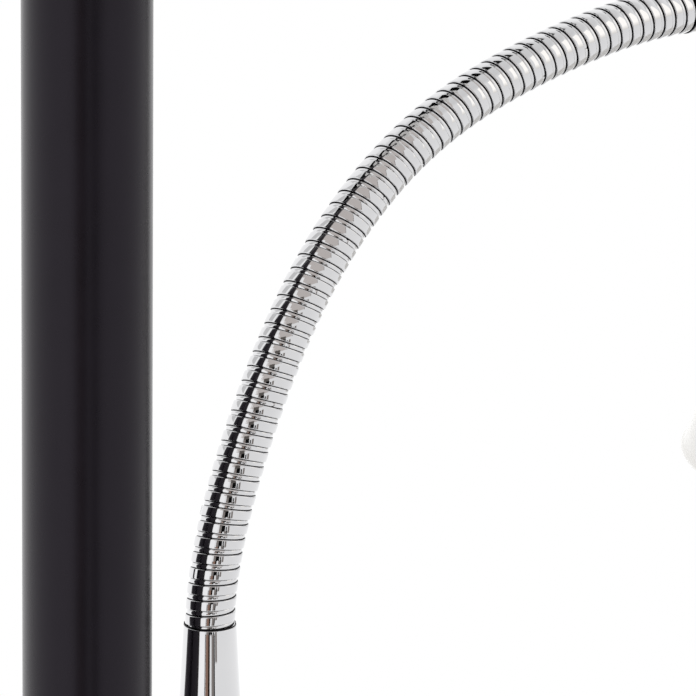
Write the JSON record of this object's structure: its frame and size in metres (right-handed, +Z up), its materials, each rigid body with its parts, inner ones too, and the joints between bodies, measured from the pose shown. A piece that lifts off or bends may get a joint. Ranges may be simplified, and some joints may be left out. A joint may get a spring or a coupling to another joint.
{
  "type": "floor lamp with reading arm",
  "caption": "Tall floor lamp: round weighted base, black tube pole, white bowl uplighter, and a chrome gooseneck reading arm with a small white bell shade on a switch housing.",
  "frame": {"origin": "centre of the base's underside, on the floor", "axes": "+Z up along the pole; +X from the pole towards the foot of the reading arm, which is turned 17.5 degrees towards +Y at rest; the switches face -Y"},
  "size_m": [0.4023, 0.3, 1.8005],
  "materials": {
    "black_paint": "satin powder coat",
    "white_enamel": "satin stove enamel",
    "chrome": "polished",
    "zinc_plated": "zinc plated",
    "cast_iron": "as cast",
    "rubber": "matte",
    "housing_abs": "fine moulded texture",
    "switch_nylon": "moulded",
    "white_thermoplastic": "moulded",
    "opal_glass": "opal",
    "cap_aluminium": "pressed"
  },
  "bodies": {
    "stand": {"base_pad": "rubber", "base_weight": "cast_iron", "base_cover": "black_paint", "lead_grommet": "rubber", "foot_collar": "chrome", "foot_stud": "zinc_plated", "foot_washer": "zinc_plated", "foot_nut": "zinc_plated", "pole_plug_bottom": "zinc_plated", "pole_lower": "black_paint", "pole_coupler": "zinc_plated", "pole_middle": "black_paint", "housing_coupler": "zinc_plated", "pole_upper": "black_paint", "pole_plug_top": "zinc_plated", "switch_housing": "housing_abs", "housing_lid": "housing_abs", "lid_screws": "zinc_plated", "grub_screws": "zinc_plated", "friction_washer": "rubber", "switch_bowl": "switch_nylon", "switch_reading": "switch_nylon", "bowl_nipple": "zinc_plated", "bowl_cup": "black_paint", "bowl_lampholder": "white_thermoplastic", "bowl": "white_enamel", "bowl_ring": "white_thermoplastic", "bowl_bulb_cap": "cap_aluminium", "bowl_bulb": "opal_glass"},
    "bowl_key": {"rocker_bowl": "switch_nylon"},
    "reading_key": {"rocker_reading": "switch_nylon"},
    "arm_foot": {"lower_ferrule": "chrome", "arm_nipple": "zinc_plated", "arm_nut": "zinc_plated", "hose_01": "chrome"},
    "arm_02": {"hose_02": "chrome"},
    "arm_03": {"hose_03": "chrome"},
    "arm_04": {"hose_04": "chrome"},
    "arm_05": {"hose_05": "chrome"},
    "arm_06": {"hose_06": "chrome"},
    "arm_07": {"hose_07": "chrome"},
    "arm_08": {"hose_08": "chrome"},
    "arm_09": {"hose_09": "chrome"},
    "arm_10": {"hose_10": "chrome"},
    "arm_11": {"hose_11": "chrome"},
    "arm_12": {"hose_12": "chrome"},
    "arm_13": {"hose_13": "chrome"},
    "arm_14": {"hose_14": "chrome"},
    "arm_15": {"hose_15": "chrome"},
    "arm_head": {"hose_16": "chrome", "upper_ferrule": "chrome", "head_nipple": "zinc_plated", "head_nut": "zinc_plated", "reading_cup": "black_paint", "reading_lampholder": "white_thermoplastic", "reading_shade": "white_enamel", "reading_ring": "white_thermoplastic", "reading_bulb_cap": "cap_aluminium", "reading_bulb": "opal_glass"}
  },
  "joints": [
    {"name": "arm_turn", "type": "hinge", "parent": "stand", "child": "arm_foot", "pos_m": [0.0255, 0, 1.1329], "axis": [0, 0, 1], "range_deg": [-100, 100]},
    {"name": "hose_bend_01", "type": "hinge", "parent": "arm_foot", "child": "arm_02", "pos_m": [0.0255, 0, 1.19525], "axis": [-0.3007, 0.9537, 0], "range_deg": [-5.5, 2.8]},
    {"name": "hose_bend_02", "type": "hinge", "parent": "arm_02", "child": "arm_03", "pos_m": [0.02742, 0.00061, 1.20667], "axis": [-0.3007, 0.9537, 0], "range_deg": [-5.5, 2.8]},
    {"name": "hose_bend_03", "type": "hinge", "parent": "arm_03", "child": "arm_04", "pos_m": [0.03075, 0.00165, 1.21774], "axis": [-0.3007, 0.9537, 0], "range_deg": [-5.5, 2.8]},
    {"name": "hose_bend_04", "type": "hinge", "parent": "arm_04", "child": "arm_05", "pos_m": [0.03489, 0.00296, 1.22849], "axis": [-0.3007, 0.9537, 0], "range_deg": [-5.5, 2.8]},
    {"name": "hose_bend_05", "type": "hinge", "parent": "arm_05", "child": "arm_06", "pos_m": [0.03965, 0.00446, 1.23896], "axis": [-0.3007, 0.9537, 0], "range_deg": [-5.5, 2.8]},
    {"name": "hose_bend_06", "type": "hinge", "parent": "arm_06", "child": "arm_07", "pos_m": [0.0451, 0.00618, 1.24906], "axis": [-0.3007, 0.9537, 0], "range_deg": [-5.5, 2.8]},
    {"name": "hose_bend_07", "type": "hinge", "parent": "arm_07", "child": "arm_08", "pos_m": [0.05145, 0.00818, 1.25856], "axis": [-0.3007, 0.9537, 0], "range_deg": [-5.5, 2.8]},
    {"name": "hose_bend_08", "type": "hinge", "parent": "arm_08", "child": "arm_09", "pos_m": [0.05885, 0.01052, 1.26718], "axis": [-0.3007, 0.9537, 0], "range_deg": [-5.5, 2.8]},
    {"name": "hose_bend_09", "type": "hinge", "parent": "arm_09", "child": "arm_10", "pos_m": [0.06726, 0.01317, 1.27471], "axis": [-0.3007, 0.9537, 0], "range_deg": [-5.5, 2.8]},
    {"name": "hose_bend_10", "type": "hinge", "parent": "arm_10", "child": "arm_11", "pos_m": [0.07659, 0.01611, 1.28095], "axis": [-0.3007, 0.9537, 0], "range_deg": [-5.5, 2.8]},
    {"name": "hose_bend_11", "type": "hinge", "parent": "arm_11", "child": "arm_12", "pos_m": [0.08666, 0.01928, 1.28576], "axis": [-0.3007, 0.9537, 0], "range_deg": [-5.5, 2.8]},
    {"name": "hose_bend_12", "type": "hinge", "parent": "arm_12", "child": "arm_13", "pos_m": [0.09718, 0.0226, 1.28934], "axis": [-0.3007, 0.9537, 0], "range_deg": [-5.5, 2.8]},
    {"name": "hose_bend_13", "type": "hinge", "parent": "arm_13", "child": "arm_14", "pos_m": [0.10792, 0.02599, 1.29215], "axis": [-0.3007, 0.9537, 0], "range_deg": [-5.5, 2.8]},
    {"name": "hose_bend_14", "type": "hinge", "parent": "arm_14", "child": "arm_15", "pos_m": [0.11878, 0.02941, 1.29436], "axis": [-0.3007, 0.9537, 0], "range_deg": [-5.5, 2.8]},
    {"name": "hose_bend_15", "type": "hinge", "parent": "arm_15", "child": "arm_head", "pos_m": [0.12975, 0.03287, 1.29588], "axis": [-0.3007, 0.9537, 0], "range_deg": [-5.5, 2.8]},
    {"name": "bowl_key_tip", "type": "hinge", "parent": "stand", "child": "bowl_key", "pos_m": [0.02002, -0.01495, 1.103], "axis": [0, 0, -1], "range_deg": [0, 16]},
    {"name": "reading_key_tip", "type": "hinge", "parent": "stand", "child": "reading_key", "pos_m": [0.02002, -0.01495, 1.087], "axis": [0, 0, -1], "range_deg": [0, 16]}
  ]
}
